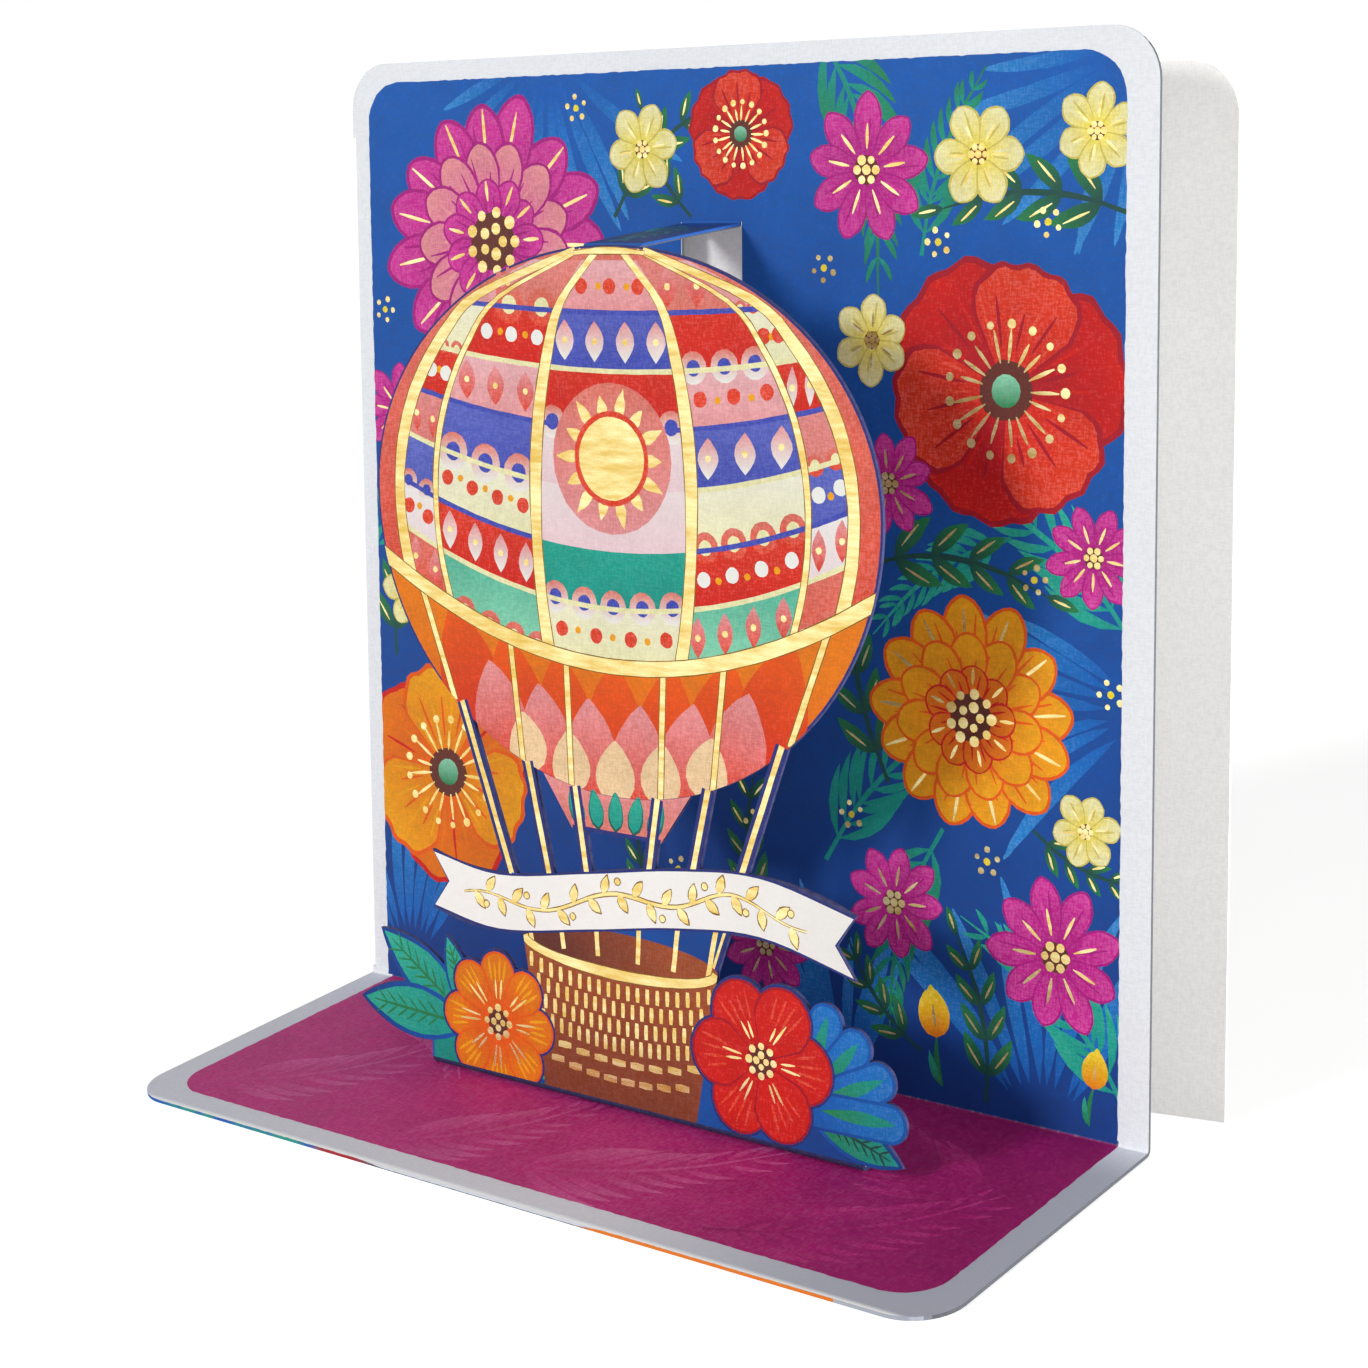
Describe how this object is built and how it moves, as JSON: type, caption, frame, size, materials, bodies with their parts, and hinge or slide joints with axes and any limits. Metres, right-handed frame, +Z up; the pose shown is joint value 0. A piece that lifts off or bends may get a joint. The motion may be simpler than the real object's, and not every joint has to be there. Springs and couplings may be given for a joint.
{
  "type": "pop up card",
  "caption": "Standing pop-up greeting card: a folded card with base flap, scene panel, lift tab and rear leaf, carrying a die-cut hot-air balloon figure in front of the panel.",
  "frame": {"origin": "middle of the base flap's underside, on the surface that the card stands on", "axes": "+X to the viewer's right along the fold, +Y back through the scene panel, +Z up"},
  "size_m": [0.1645, 0.0923, 0.1646],
  "materials": {
    "card_stock": "white uncoated card stock with a fine tooth, printed on its show faces",
    "figure_stock": "printed card stock with raised gold foil lines"
  },
  "bodies": {
    "root": {"folded_card": "card_stock", "balloon_figure": "figure_stock"}
  },
  "joints": []
}
